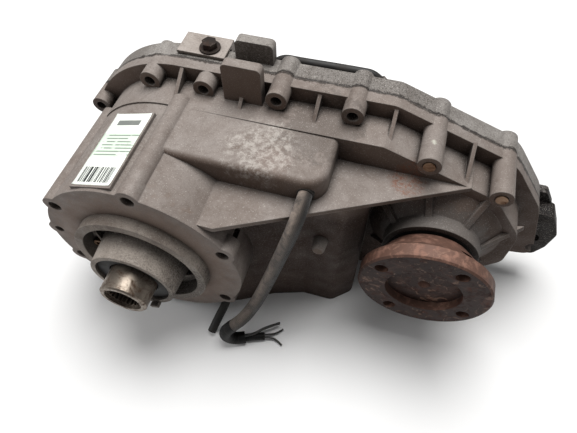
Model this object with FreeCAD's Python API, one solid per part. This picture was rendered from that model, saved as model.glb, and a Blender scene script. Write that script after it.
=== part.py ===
import FreeCAD, Part
import math
import os

# Two-speed transfer case with a chain-driven second output, built as its separate pieces.
# Millimetres. Origin: input axis on the front face of the transmission flange.
# +Y runs rearward along the shafts, +X points from the input axis to the front-output axis,
# +Z is up as the unit lies on its side.

V = FreeCAD.Vector
ALONG = V(0, 1, 0)

# ---- Driving sizes ----------------------------------------------------------------------------

# Chain drive
PITCH = 9.525
SPROCKET_TEETH = 37
STRAIGHT_PITCHES = 23
CHAIN_WIDTH = 24.0
CHAIN_Y = 122.0
CHAIN_BACK = 3.2
TOE_DEPTH = 5.0

# Castings
SEAM_Y = 130.0
SEALANT = 0.4
STRIP = 11.0
STRIP_INSET = 14.0
FLOOR_Z = -97.0
FACE_WALL = 12.0
CHAMBER_GAP = 1.4
CHAMBER_SPREAD = 4.0
BARREL_R = 83.0

# Transmission flange
FLANGE_PCD = 157.0
FLANGE_HOLE_R = 5.25
FLANGE_HOLES = 6
FLANGE_START = 25.0
EAR_R = 9.5
EXTRA_EAR_ANGLE = 175.0
EXTRA_EAR_RADIUS = 77.0
EXTRA_HOLE_R = 4.0
PILOT_R = 55.9
PILOT_LENGTH = 9.9
SPIGOT_R = 52.0

# Input shaft
INPUT_R = 19.5
INPUT_TIP_Y = -42.2
SPLINE_TEETH = 23
SPLINE_ROOT_R = 14.6
SPLINE_TIP_R = 12.8
NOSE_R = 34.8
NOSE_Y = -25.2

# Planetary set
MODULE = 1.75
SUN_TEETH = 50
PLANET_TEETH = 12
RING_TEETH = 74
PLANETS = 4
GEAR_Y = 44.0
GEAR_WIDTH = 18.0
PRESSURE = math.radians(20.0)
BACKLASH = 0.40
ADDENDUM = 0.75
DEDENDUM = 1.10
RING_OUTER_R = 71.5
PLANET_PIN_R = 4.5

# Range collar, fork and cam
DOG_TEETH = 24
DOG_R = 25.6
DOG_DEPTH = 2.4
DOG_LENGTH = 5.0
COLLAR_Y = 55.0
RANGE_TRAVEL = 8.0
CAM_TURN = 120.0
RAIL_X = 44.0
RAIL_Z = -80.0
RAIL_R = 6.0
CAM_X = 84.0
CAM_R = 12.0

# Main shaft
SHAFT_R = 17.0
JOURNAL_R = 20.0
TAIL_SHAFT_R = 15.0
REAR_Y = 212.0

# Front output
OUTPUT_FLANGE_R = 52.0
OUTPUT_FLANGE_Y = 29.1
OUTPUT_FLANGE_THICK = 12.5
OUTPUT_BOLT_R = 41.7
OUTPUT_HOLE_R = 5.25
OUTPUT_RECESS_R = 30.0
OUTPUT_RECESS_DEPTH = 7.0
OUTPUT_SHAFT_R = 22.0
COLLAR_R = 38.8
COLLAR_FRONT_Y = 64.6
COLLAR_BACK_Y = 76.4

# Rear output flange
REAR_FLANGE_R = 48.0
REAR_BOLT_R = 38.0
REAR_HOLE_R = 5.25
REAR_FLANGE_THICK = 9.0
REAR_PILOT_R = 26.0

# Fits (radial)
RUN = 0.05
PRESS = 0.02
SEAL_GAP = 0.05
SIDE_GAP = 0.5

# ---- Worked out from them -----------------------------------------------------------------------

STEP = 2 * math.pi / SPROCKET_TEETH
PITCH_R = PITCH / (2 * math.sin(STEP / 2))
DROP = PITCH_R * (1 - math.cos(STEP / 2))
CENTRES = (PITCH * STRAIGHT_PITCHES
           + math.sqrt(PITCH ** 2 - DROP ** 2) - PITCH_R * math.sin(STEP / 2))
SPROCKET_TIP_R = PITCH_R - 1.2
SPROCKET_ROOT_R = PITCH_R - 6.2
CHAMBER_R = PITCH_R + CHAIN_BACK + CHAMBER_GAP
CHAMBER_FRONT_Y = CHAIN_Y - CHAIN_WIDTH / 2 - 6.0
CHAMBER_BACK_Y = CHAIN_Y + CHAIN_WIDTH / 2 + 8.0
GEAR_END_Y = GEAR_Y + GEAR_WIDTH
PLANET_CENTRE_R = MODULE * (SUN_TEETH + PLANET_TEETH) / 2


# ---- Shape helpers --------------------------------------------------------------------------------

def disc(x, z, y0, y1, r):
    return Part.makeCylinder(r, y1 - y0, V(x, y0, z), ALONG)


def ring(x, z, y0, y1, r_out, r_in):
    return disc(x, z, y0, y1, r_out).cut(disc(x, z, y0 - 1, y1 + 1, r_in))


def block(x0, x1, y0, y1, z0, z1):
    return Part.makeBox(x1 - x0, y1 - y0, z1 - z0, V(x0, y0, z0))


def lathe(points, x=0.0, z=0.0):
    """Solid of revolution about the Y axis through (x, z); points are (y, r)."""
    wire = Part.makePolygon([V(x + r, y, z) for y, r in points + points[:1]])
    return Part.Face(wire).revolve(V(x, 0, z), ALONG, 360)


def plate(points, y0, y1):
    """Prism along Y over a polygon of (x, z) points."""
    wire = Part.makePolygon([V(x, y0, z) for x, z in points + points[:1]])
    return Part.Face(wire).extrude(V(0, y1 - y0, 0))


def rounded_wire(corners, y):
    """Closed outline in the XZ plane; corners are (x, z, corner radius)."""
    edges = []
    spans = []
    count = len(corners)
    for i, (x, z, r) in enumerate(corners):
        here = V(x, y, z)
        before = V(corners[i - 1][0], y, corners[i - 1][1])
        after = V(corners[(i + 1) % count][0], y, corners[(i + 1) % count][1])
        back = (before - here).normalize()
        ahead = (after - here).normalize()
        half = back.getAngle(ahead) / 2
        reach = r / math.tan(half)
        middle = (back + ahead).normalize()
        start = here + back * reach
        end = here + ahead * reach
        top = here + middle * (r / math.sin(half) - r)
        spans.append((start, top, end))
    for i, (start, top, end) in enumerate(spans):
        edges.append(Part.Arc(start, top, end).toShape())
        following = spans[(i + 1) % count][0]
        if (following - end).Length > 1e-6:
            edges.append(Part.LineSegment(end, following).toShape())
    return Part.Wire(edges)


def rounded_plate(corners, y0, y1, inset=0.0):
    wire = rounded_wire(corners, y0)
    if inset:
        wire = wire.makeOffset2D(-inset)
    return Part.Face(wire).extrude(V(0, y1 - y0, 0))


def capsule(r_left, r_right, y0, y1):
    """Solid round both shaft axes: two arcs joined by their outer tangents."""
    lean = math.asin((r_left - r_right) / CENTRES)
    left = V(r_left * math.sin(lean), y0, r_left * math.cos(lean))
    right = V(CENTRES + r_right * math.sin(lean), y0, r_right * math.cos(lean))
    left_low = V(left.x, y0, -left.z)
    right_low = V(right.x, y0, -right.z)
    wire = Part.Wire([
        Part.LineSegment(left, right).toShape(),
        Part.Arc(right, V(CENTRES + r_right, y0, 0), right_low).toShape(),
        Part.LineSegment(right_low, left_low).toShape(),
        Part.Arc(left_low, V(-r_left, y0, 0), left).toShape(),
    ])
    return Part.Face(wire).extrude(V(0, y1 - y0, 0))


def rounded_block(x0, x1, y0, y1, z0, z1, radius, keep):
    """Box whose edges that satisfy keep(middle point) are rounded."""
    body = block(x0, x1, y0, y1, z0, z1)
    edges = [e for e in body.Edges if keep(e.CenterOfMass)]
    return body.makeFillet(radius, edges)


def polar(radius, degrees, x=0.0, z=0.0):
    a = math.radians(degrees)
    return x + radius * math.cos(a), z + radius * math.sin(a)


def toothed(x, z, y0, y1, teeth, profile, phase=0.0):
    """Wheel blank with teeth; profile lists (radius, half angle) from root to tip of one flank."""
    points = []
    for i in range(teeth):
        centre = phase + 2 * math.pi * i / teeth
        for r, half in profile:
            points.append((x + r * math.cos(centre - half), z + r * math.sin(centre - half)))
        for r, half in reversed(profile):
            points.append((x + r * math.cos(centre + half), z + r * math.sin(centre + half)))
    return plate(points, y0, y1)


def involute(angle):
    return math.tan(angle) - angle


def gear_flank(teeth, radii, inside=False):
    """Half angles of an involute tooth at the given radii, with the backlash shared out."""
    pitch_r = MODULE * teeth / 2
    base_r = pitch_r * math.cos(PRESSURE)
    at_pitch = math.pi / (2 * teeth) - BACKLASH / (4 * pitch_r)
    flank = []
    for r in radii:
        angle = math.acos(min(1.0, base_r / r))
        change = involute(PRESSURE) - involute(angle)
        flank.append((r, at_pitch - change if inside else at_pitch + change))
    return flank


def dog_flank(grow):
    """Straight-sided clutch tooth, grown or shrunk all round by the given clearance."""
    return [(DOG_R - DOG_DEPTH, 0.062 + grow / DOG_R), (DOG_R + grow, 0.048 + grow / DOG_R)]


def hexagon(x, z, y0, y1, across, turn=0.0):
    corner = across / math.sqrt(3)
    return plate([polar(corner, turn + 60 * i, x, z) for i in range(6)], y0, y1)


# ---- Cable, hose and hanger places ------------------------------------------------------------------

LOOM_R = 5.5
LOOM_ROUTE = [
    (122.5, 44.5, 71.0), (122.5, 33.5, 71.0), (121.3, 24.3, 64.0), (117.0, 19.5, 46.0),
    (110.0, 15.0, 19.0), (102.0, 9.0, -11.0), (94.0, 1.5, -37.0), (88.0, -5.5, -49.5),
    (82.0, -12.0, -58.0), (75.675, -16.29, -63.665),
]
GLAND = (122.5, 71.0)
GLAND_R = 6.3
FOLD_R = 5.7
FOLD_ROUTE = [
    (75.675, -16.29, -63.665), (70.5, -19.8, -68.3), (67.8, -21.2, -77.0), (70.0, -20.6, -85.7),
    (76.7, -18.2, -91.0), (84.0, -14.8, -91.0),
]
TAPE_R = 3.6
TAPE_ROUTE = [(84.0, -14.8, -92.6), (91.7, -11.21, -92.6), (101.0, -8.2, -92.9)]
STRAND_R = 1.3
STRAND_ROUTE = [
    (84.0, -14.8, -87.2), (91.2, -11.45, -87.2), (98.4, -3.5, -87.6), (105.5, 2.0, -88.0),
    (111.7, 6.4, -88.6),
]
WIRE_R = 0.9
WIRE_ROUTES = [
    [(100.57, -6.87, -92.9), (106.28, -5.02, -93.09), (111.5, -1.5, -94.0), (115.5, 3.5, -95.0)],
    [(101.43, -9.53, -92.9), (107.14, -7.68, -93.09), (113.0, -8.3, -94.6), (118.5, -11.5, -95.6)],
]
STUB_R = 3.9
STUB_ROUTE = [(60.0, 13.0, -70.0), (58.4, 5.0, -76.6), (54.6, -5.5, -85.2), (51.5, -17.5, -92.8)]
HOSE_R = 3.5
HOSE_ROUTE = [
    (69.4, 151.8, 91.4), (74.6, 152.0, 96.6), (87.0, 152.2, 96.2), (106.0, 152.0, 96.8),
    (122.0, 152.3, 97.0), (137.0, 152.0, 97.4), (148.6, 152.0, 97.4), (153.6, 151.8, 92.4),
]
BRACKET_Z = 99.0
BRACKET_X0 = -8.0
BRACKET_X1 = 32.0
SHEET = 2.5
HANGER = (17.0, 142.0)
HANGER_BOSS_R = 9.0
HANGER_BOLT_R = 4.0
HANGER_DEPTH = 3.0


# ---- Case outline and bolt places -----------------------------------------------------------------

def seam_outline():
    """Corners (x, z, radius) of the flange where the two case halves meet, seen from the front."""
    a_side = 95.0
    return [
        (-96.0, 97.0, a_side),
        (171.0, 100.5, 15.0),
        (268.0, 66.0, 45.0),
        (303.0, 20.0, 40.0),
        (322.0, -46.0, 9.0),
        (286.0, -53.0, 14.0),
        (258.0, -74.0, 30.0),
        (178.0, FLOOR_Z, 30.0),
        (-96.0, FLOOR_Z, a_side),
    ]


def chain_wall_outline():
    """The same outline for the wall ahead of the seam strip, kept round the front-output tower."""
    right = [(268.0, 66.0, 45.0), (303.0, 20.0, 40.0), (303.0, -30.0, 30.0), (275.0, -66.0, 30.0)]
    return seam_outline()[:2] + right + seam_outline()[7:]


# Seam bolts: x, z, front end of the boss, boss radius, whether the bolt end shows at the front
SEAM_BOLTS = [
    (-81.0, 45.0, 108.0, 8.5, False),
    (-23.0, 88.0, 107.0, 8.5, False),
    (23.0, 90.0, 107.0, 8.5, False),
    (83.0, 95.0, 105.0, 8.5, False),
    (141.5, 95.0, 105.0, 8.5, False),
    (203.0, 82.0, 85.0, 8.75, True),
    (260.0, 62.0, 86.0, 8.75, True),
    (287.0, -57.0, 112.0, 8.5, False),
    (226.0, -78.0, 110.0, 8.5, False),
    (176.0, -88.0, 100.0, 8.5, False),
    (-74.0, -62.0, 108.0, 8.5, False),
    (-90.0, -8.0, 108.0, 8.5, False),
]
BOLT_R = 4.0
LONG_BOLT_R = 4.5
HOLE_GAP = 0.4
BOSS_BACK_Y = 148.0
RIB_THICK = 3.0
RIB_X = [0.0, 53.0, 112.0, 170.0, 232.0]
DOWELS = [(-56.0, 74.0), (297.0, 2.0)]
DOWEL_R = 4.0
HEAD_SEAT_Y = 142.0
HEAD_HEIGHT = 5.0


def head_r(shows):
    """Cap-screw head: one and a half times the shank."""
    return 1.5 * (LONG_BOLT_R if shows else BOLT_R)


def boss_hole_r(shows):
    return LONG_BOLT_R + HOLE_GAP if shows else BOLT_R + HOLE_GAP


# ---- Castings -------------------------------------------------------------------------------------

CHAIN_WALL_Y = 90.0
PAD_Y = 45.0
PAD_TOP_Z = 84.5
PAD_X0 = 6.0
PAD_X = 136.0
SHELF_TOP_Z = 63.0
SHELF_THICK = 4.0
LOWER_Y = 47.0
LOWER_X = 169.0
LOWER_FRONT = [(-40, LOWER_Y), (28, LOWER_Y), (48, 15), (66, 22), (96, 38), (124, LOWER_Y),
               (152, LOWER_Y), (LOWER_X, 62)]
LUG_X0 = 40.0
LUG_X1 = 71.0
TOWER_R = 60.0
CASE_BACK_Y = 154.0
FLANGE_BACK_Y = 146.0
REAR_INSET = 11.0
DOME_R = 90.0
DOME_Y = 158.0
TAIL_R = 42.0
TAIL_END_Y = 203.0

RETAINER_SEAT_Y = 8.0
INPUT_BEARING_R = 40.0
INPUT_SEAT_R = 22.0
INPUT_BEARING_Y = 9.0
INPUT_BEARING_WIDTH = 18.0
OUTPUT_BEARING_R = 36.0
OUTPUT_BEARING_Y = 76.5
OUTPUT_BEARING_WIDTH = 18.0
OUTPUT_SEAL_R = 34.0
NEEDLE_R = 19.0
NEEDLE_JOURNAL_R = 14.0
NEEDLE_Y = 138.0
NEEDLE_END_Y = 150.0
TAIL_BEARING_R = 33.0
TAIL_BEARING_Y = 181.0
TAIL_BEARING_WIDTH = 14.0
TAIL_SEAL_R = 30.0
CLUTCH_CAVITY_R = 53.0
CLUTCH_CAVITY_END_Y = 167.0
PUMP_R = 36.0
TAIL_CAVITY_END_Y = 180.0
POCKET = (30.0, 112.0, 60.0, -93.5, -62.0)


# End lobe of the rear half, which stands out past the front half
LOBE = [(290, 0, 4), (323, 0, 5), (335, -24, 12), (333, -46, 10), (327, -61, 6), (290, -66, 8)]
LOBE_HOLE = (318.0, -36.0)
LOBE_HOLE_R = 6.0


def ear_places():
    step = 360.0 / FLANGE_HOLES
    return [polar(FLANGE_PCD / 2, FLANGE_START + step * i) for i in range(FLANGE_HOLES)]


def gusset(angle, y0, y1, r0, r1, thick, x=0.0, z=0.0):
    """Triangular web standing on a cylinder: full height at y1, nothing at y0."""
    points = [V(x + r0, y0, z), V(x + r0, y1, z), V(x + r1, y1, z), V(x + r0, y0, z)]
    web = Part.Face(Part.makePolygon(points)).extrude(V(0, 0, thick))
    web.translate(V(0, 0, -thick / 2))
    web.rotate(V(x, 0, z), ALONG, -angle)
    return web


def seam_bosses(y0_of, y1, radius_of):
    return [disc(x, z, y0_of(y), y1, radius_of(r)) for x, z, y, r, shows in SEAM_BOLTS]


def top_ribs():
    """Thin webs that stiffen the seam strip between the top bosses."""
    ribs = []
    for x in RIB_X:
        top = 99.0 if x < 175 else 99.0 - (x - 175) * 0.32
        base = top - STRIP_INSET - 4.0
        points = [V(x, 93.0, base), V(x, SEAM_Y - STRIP + 1, base), V(x, SEAM_Y - STRIP + 1, top - 1)]
        face = Part.Face(Part.makePolygon(points + points[:1]))
        ribs.append(face.extrude(V(RIB_THICK, 0, 0)))
    return ribs


def lower_body(back_y):
    """Box below the shelf; on the left its front wall runs forward towards the flange."""
    plan = LOWER_FRONT + [(LOWER_X, back_y), (LOWER_FRONT[0][0], back_y)]
    wire = Part.makePolygon([V(x, y, FLOOR_Z) for x, y in plan + plan[:1]])
    box = Part.Face(wire).extrude(V(0, 0, SHELF_TOP_Z - 2 - FLOOR_Z))
    soft = [e for e in box.Edges if abs(e.CenterOfMass.z - (SHELF_TOP_Z - 2 + FLOOR_Z) / 2) < 1
            and e.CenterOfMass.x > 60 and e.CenterOfMass.y < back_y - 1]
    return box.makeFillet(9.0, soft)


def front_case():
    outline = seam_outline()
    strip_y = SEAM_Y - STRIP
    body = [
        rounded_plate(outline, strip_y, SEAM_Y - SEALANT / 2),
        rounded_plate(chain_wall_outline(), CHAIN_WALL_Y, strip_y + 1, STRIP_INSET),
        disc(0, 0, 0, strip_y + 1, BARREL_R),
    ]
    for x, z in ear_places():
        body.append(disc(x, z, 0, FACE_WALL + 2, EAR_R))
    for angle in (85.0, 145.0, 205.0, 265.0):
        x, z = polar(FLANGE_PCD / 2 + 1.5, angle)
        body.append(disc(x, z, 0, 100, EAR_R - 1))
    ex, ez = polar(EXTRA_EAR_RADIUS, EXTRA_EAR_ANGLE)
    body.append(disc(ex, ez, 0, 60, EAR_R))
    label_pad = block(-18.5, 18.5, 3, 78, BARREL_R - 12, BARREL_R + 0.8)
    label_pad.rotate(V(0, 0, 0), ALONG, -16.4)
    body.append(label_pad)
    pad = rounded_block(PAD_X0, PAD_X, PAD_Y, CHAIN_WALL_Y + 2, 40, PAD_TOP_Z, 16.0,
                        lambda c: c.x > PAD_X - 1 and c.y < PAD_Y + 1 and abs(c.z - 62) < 5)
    top_edge = [e for e in pad.Edges if e.CenterOfMass.z > PAD_TOP_Z - 0.1
                and e.CenterOfMass.y < CHAIN_WALL_Y]
    body.append(pad.makeFillet(5.0, [e for e in top_edge if e.CenterOfMass.x > PAD_X0 + 1]))
    shelf = [(45, 4), (66, 4), (238, 90), (238, strip_y + 1), (45, strip_y + 1)]
    wire = Part.makePolygon([V(x, y, SHELF_TOP_Z - SHELF_THICK) for x, y in shelf + shelf[:1]])
    body.append(Part.Face(wire).extrude(V(0, 0, SHELF_THICK)))
    body.append(lower_body(strip_y + 1))
    tower = [(COLLAR_FRONT_Y, 0), (COLLAR_FRONT_Y, COLLAR_R), (COLLAR_BACK_Y, COLLAR_R),
             (CHAIN_WALL_Y, TOWER_R - 6), (strip_y + 1, TOWER_R), (strip_y + 1, 0)]
    body.append(lathe(tower, CENTRES, 0))
    for angle in (15, 60, 105, 150, 215, 265, 325):
        body.append(gusset(angle, COLLAR_BACK_Y - 4, CHAIN_WALL_Y + 8, COLLAR_R - 2, TOWER_R + 10,
                           5.0, CENTRES, 0))
    body += seam_bosses(lambda y: y, SEAM_Y - SEALANT / 2, lambda r: r)
    body += top_ribs()
    drain_way = (V(*STUB_ROUTE[1]) - V(*STUB_ROUTE[0])).normalize()
    body.append(Part.makeCylinder(STUB_R + 1.5, 14, V(*STUB_ROUTE[0]) - drain_way * 14, drain_way))
    lug = rounded_block(LUG_X0, LUG_X1, 107, 115.5, 80, 119, 4.0,
                        lambda c: c.z > 118 and (c.x < LUG_X0 + 1 or c.x > LUG_X1 - 1))
    body.append(lug)
    case = body[0].fuse(body[1:])
    cuts = [
        disc(0, 0, -1, RETAINER_SEAT_Y, SPIGOT_R + PRESS),
        disc(0, 0, 0, INPUT_BEARING_Y + INPUT_BEARING_WIDTH, INPUT_BEARING_R + PRESS),
        disc(0, 0, 0, 40, INPUT_BEARING_R - 5),
        disc(0, 0, 36, CHAMBER_FRONT_Y + 1, RING_OUTER_R + PRESS),
        capsule(CHAMBER_R + CHAMBER_SPREAD, CHAMBER_R, CHAMBER_FRONT_Y, SEAM_Y + 1),
        disc(CENTRES, 0, 60, 74.5, OUTPUT_SEAL_R + PRESS),
        disc(CENTRES, 0, 60, 80, OUTPUT_BEARING_R - 5),
        disc(CENTRES, 0, OUTPUT_BEARING_Y, CHAMBER_FRONT_Y + 1, OUTPUT_BEARING_R + PRESS),
        block(POCKET[0], POCKET[1], POCKET[2], SEAM_Y + 1, POCKET[3], POCKET[4]),
        block(14, 66, POCKET[2], 96, POCKET[4] - 1, -48),
        disc(RAIL_X, RAIL_Z, POCKET[2] - 12, POCKET[2] + 1, RAIL_R + PRESS),
        disc(ex, ez, -1, 24, EXTRA_HOLE_R),
        disc(*GLAND, PAD_Y - 1, PAD_Y + 8, GLAND_R + PRESS),
        disc(*LOBE_HOLE, strip_y - 1, SEAM_Y, LOBE_HOLE_R),
    ]
    for x, z in ear_places():
        cuts.append(disc(x, z, -1, 26, FLANGE_HOLE_R))
    for x, z, y, r, shows in SEAM_BOLTS:
        cuts.append(disc(x, z, y - 1, SEAM_Y + 1, boss_hole_r(shows)))
    for x, z in DOWELS:
        cuts.append(disc(x, z, SEAM_Y - 9, SEAM_Y + 1, DOWEL_R + PRESS))
    return case.cut(cuts).removeSplitter()


def rear_case():
    outline = seam_outline()
    front = SEAM_Y + SEALANT / 2
    dome = [(front, 0), (front, DOME_R), (DOME_Y - 8, DOME_R - 1), (DOME_Y + 2, DOME_R - 5),
            (DOME_Y + 10, DOME_R - 15), (DOME_Y + 19, TAIL_R + 2), (TAIL_END_Y, TAIL_R),
            (TAIL_END_Y, 0)]
    output_dome = [(front, 0), (front, 44), (CASE_BACK_Y + 2, 40), (CASE_BACK_Y + 7, 30),
                   (CASE_BACK_Y + 7, 0)]
    body = [
        rounded_plate(outline, front, FLANGE_BACK_Y),
        rounded_plate(outline, FLANGE_BACK_Y - 1, CASE_BACK_Y, REAR_INSET),
        lathe(dome),
        lathe(output_dome, CENTRES, 0),
    ]
    for i in range(10):
        body.append(gusset(20 + 36 * i, TAIL_END_Y - 10, DOME_Y + 6, TAIL_R - 2, DOME_R - 15, 4.0))
    for angle in (60, 120, 180, 240, 300):
        body.append(gusset(angle, CASE_BACK_Y + 6, CASE_BACK_Y - 1, 28, 62, 4.0, CENTRES, 0))
    body += seam_bosses(lambda y: front, BOSS_BACK_Y, lambda r: r)
    body.append(rounded_block(LUG_X0, LUG_X1, 138, 147, 76, 117, 4.0,
                              lambda c: c.z > 116 and (c.x < LUG_X0 + 1 or c.x > LUG_X1 - 1)))
    body.append(rounded_plate([(290, 13, 4), (312, 13, 4), (325, -8, 4), (290, -8, 4)],
                              FLANGE_BACK_Y - 2, FLANGE_BACK_Y + 6))
    body.append(rounded_plate(LOBE, front, FLANGE_BACK_Y))
    body.append(Part.makeCylinder(HANGER_BOSS_R, 16, V(*HANGER, BRACKET_Z - 16)))
    for end, inner in ((HOSE_ROUTE[0], HOSE_ROUTE[1]), (HOSE_ROUTE[-1], HOSE_ROUTE[-2])):
        way = (V(*inner) - V(*end)).normalize()
        body.append(Part.makeCylinder(HOSE_R + 1.5, 9, V(*end) - way * 9, way))
    case = body[0].fuse(body[1:])
    cuts = [
        capsule(CHAMBER_R + CHAMBER_SPREAD, CHAMBER_R, SEAM_Y - 1, CHAMBER_BACK_Y),
        disc(0, 0, SEAM_Y, CLUTCH_CAVITY_END_Y, CLUTCH_CAVITY_R),
        disc(0, 0, SEAM_Y, TAIL_CAVITY_END_Y, PUMP_R + PRESS),
        disc(0, 0, SEAM_Y, TAIL_BEARING_Y + TAIL_BEARING_WIDTH, TAIL_BEARING_R + PRESS),
        disc(0, 0, SEAM_Y, TAIL_END_Y + 1, TAIL_SEAL_R + PRESS),
        disc(CENTRES, 0, SEAM_Y, NEEDLE_END_Y + 1, NEEDLE_R + PRESS),
        disc(RAIL_X, RAIL_Z, SEAM_Y - 1, CASE_BACK_Y - 6, RAIL_R + PRESS),
        disc(CAM_X, RAIL_Z, SEAM_Y - 1, CASE_BACK_Y + 1, SPINDLE_R + RUN),
        block(MOTOR[0] - 1, MOTOR[1] + 1, CASE_BACK_Y, TAIL_END_Y, MOTOR[4] - 3, MOTOR[5] + 1),
        Part.makeCylinder(SENSOR_R + PRESS, 30, V(-26, SENSOR_Y, 0), V(-1, 0, 0)),
        Part.makeCylinder(SENSOR_HEAD_R + 1, 50, V(-SENSOR_SEAT_X, SENSOR_Y, 0), V(-1, 0, 0)),
        Part.makeCylinder(HANGER_BOLT_R, 10, V(*HANGER, BRACKET_Z - HANGER_DEPTH)),
    ]
    cuts.append(disc(*LOBE_HOLE, SEAM_Y - 1, FLANGE_BACK_Y + 1, LOBE_HOLE_R))
    for x, z, y, r, shows in SEAM_BOLTS:
        cuts.append(disc(x, z, SEAM_Y - 1, BOSS_BACK_Y + 1, boss_hole_r(shows)))
        cuts.append(disc(x, z, HEAD_SEAT_Y, BOSS_BACK_Y + 20, head_r(shows) + HOLE_GAP))
    for x, z in DOWELS:
        cuts.append(disc(x, z, SEAM_Y - 1, SEAM_Y + 9, DOWEL_R + PRESS))
    for x, z in PLUGS:
        cuts.append(disc(x, z, CASE_BACK_Y - 12, CASE_BACK_Y + 1, PLUG_R + PRESS))
    return case.cut(cuts).removeSplitter()


def sealant():
    sheet = rounded_plate(seam_outline(), SEAM_Y - SEALANT / 2, SEAM_Y + SEALANT / 2)
    cuts = [capsule(CHAMBER_R + CHAMBER_SPREAD, CHAMBER_R, SEAM_Y - 1, SEAM_Y + 1),
            block(POCKET[0], POCKET[1], SEAM_Y - 1, SEAM_Y + 1, POCKET[3], POCKET[4]),
            disc(*LOBE_HOLE, SEAM_Y - 1, SEAM_Y + 1, LOBE_HOLE_R)]
    for x, z, y, r, shows in SEAM_BOLTS:
        cuts.append(disc(x, z, SEAM_Y - 1, SEAM_Y + 1, boss_hole_r(shows)))
    for x, z in DOWELS:
        cuts.append(disc(x, z, SEAM_Y - 1, SEAM_Y + 1, DOWEL_R + PRESS))
    return sheet.cut(cuts)


SPINDLE_R = 6.0
SENSOR_Y = 177.0
SENSOR_R = 2.9
SENSOR_HEAD_R = 7.0
SENSOR_SEAT_X = 50.0
PLUGS = [(158.0, -64.0), (166.0, 24.0)]
PLUG_R = 9.0


def seam_bolts():
    bolts = []
    for x, z, y, r, shows in SEAM_BOLTS:
        shank = LONG_BOLT_R if shows else BOLT_R
        tip = y - 1.0 if shows else y + 8.0
        head = disc(x, z, HEAD_SEAT_Y, HEAD_SEAT_Y + HEAD_HEIGHT, head_r(shows))
        socket = hexagon(x, z, HEAD_SEAT_Y + 2, HEAD_SEAT_Y + HEAD_HEIGHT + 1, 1.5 * shank)
        bolts.append(head.cut(socket).fuse(disc(x, z, tip, HEAD_SEAT_Y, shank)))
    return Part.makeCompound(bolts)


def dowels():
    return Part.makeCompound([disc(x, z, SEAM_Y - 8, SEAM_Y + 8, DOWEL_R) for x, z in DOWELS])


def plugs():
    made = []
    for x, z in PLUGS:
        plug = disc(x, z, CASE_BACK_Y - 11, CASE_BACK_Y, PLUG_R)
        cap = disc(x, z, CASE_BACK_Y, CASE_BACK_Y + 3, PLUG_R + 3)
        made.append(plug.fuse(cap).cut(hexagon(x, z, CASE_BACK_Y - 3, CASE_BACK_Y + 4, 10)))
    return Part.makeCompound(made)


# ---- Input side -----------------------------------------------------------------------------------

def input_retainer():
    body = lathe([(INPUT_BEARING_Y - 0.5, NOSE_R - 5), (INPUT_BEARING_Y - 0.5, PILOT_R - 16.5),
                  (RETAINER_SEAT_Y, PILOT_R - 16.5), (RETAINER_SEAT_Y, SPIGOT_R),
                  (0, SPIGOT_R), (0, PILOT_R), (-PILOT_LENGTH, PILOT_R),
                  (-PILOT_LENGTH, PILOT_R - 7), (2.5, PILOT_R - 9), (2.5, NOSE_R + 2),
                  (NOSE_Y, NOSE_R), (NOSE_Y, NOSE_R - 4),
                  (-10.0, NOSE_R - 4), (-10.0, NOSE_R - 5)])
    ribs = [gusset(22.5 + 45 * i, -5.0, 3.0, NOSE_R - 1, PILOT_R - 8, 4.0) for i in range(8)]
    body = body.fuse(ribs)
    holes = [disc(*polar(RETAINER_BOLT_PCR, 45 * i), -2, 12, RETAINER_BOLT_R + 0.3)
             for i in RETAINER_BOLTS]
    tab = block(-4, 4, NOSE_Y - 5, NOSE_Y + 1, -NOSE_R, -NOSE_R + 3)
    tab.rotate(V(0, 0, 0), ALONG, -25)
    return body.cut(holes).fuse(tab).removeSplitter()


RETAINER_BOLT_PCR = 41.9
RETAINER_BOLT_R = 3.0
RETAINER_BOLTS = (0, 2, 4, 6)


def retainer_bolts():
    bolts = []
    for i in RETAINER_BOLTS:
        x, z = polar(RETAINER_BOLT_PCR, 45 * i)
        head = disc(x, z, -1.0, 2.5, RETAINER_BOLT_R + 1.8)
        socket = hexagon(x, z, -2.0, 1.0, 5.0)
        shank = disc(x, z, 2.5, RETAINER_SEAT_Y, RETAINER_BOLT_R)
        bolts.append(head.cut(socket).fuse(shank))
    return Part.makeCompound(bolts)


def seal(x, z, y0, y1, r_out, r_shaft):
    """Lip seal: a steel-backed ring whose rubber lip stands just off the shaft."""
    middle = (y0 + y1) / 2
    return lathe([(y0, r_out), (y1, r_out), (y1, r_out - 3), (middle, r_out - 3),
                  (middle, r_shaft + SEAL_GAP), (y0, r_shaft + SEAL_GAP + 1.0)], x, z)


def outer_race(x, z, y, width, r_out, r_in):
    """Outer ring of a shielded bearing; the shields reach down to the inner ring."""
    shield = r_in + 0.3
    wall = (r_out - r_in) * 0.45
    return lathe([(y, r_out), (y + width, r_out), (y + width, shield), (y + width - 1.5, shield),
                  (y + width - 1.5, r_out - wall), (y + 1.5, r_out - wall), (y + 1.5, shield),
                  (y, shield)], x, z)


def inner_race(x, z, y, width, r_in, r_out):
    return ring(x, z, y, y + width, r_out, r_in)


INNER_RACE_WALL = 5.5


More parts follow.
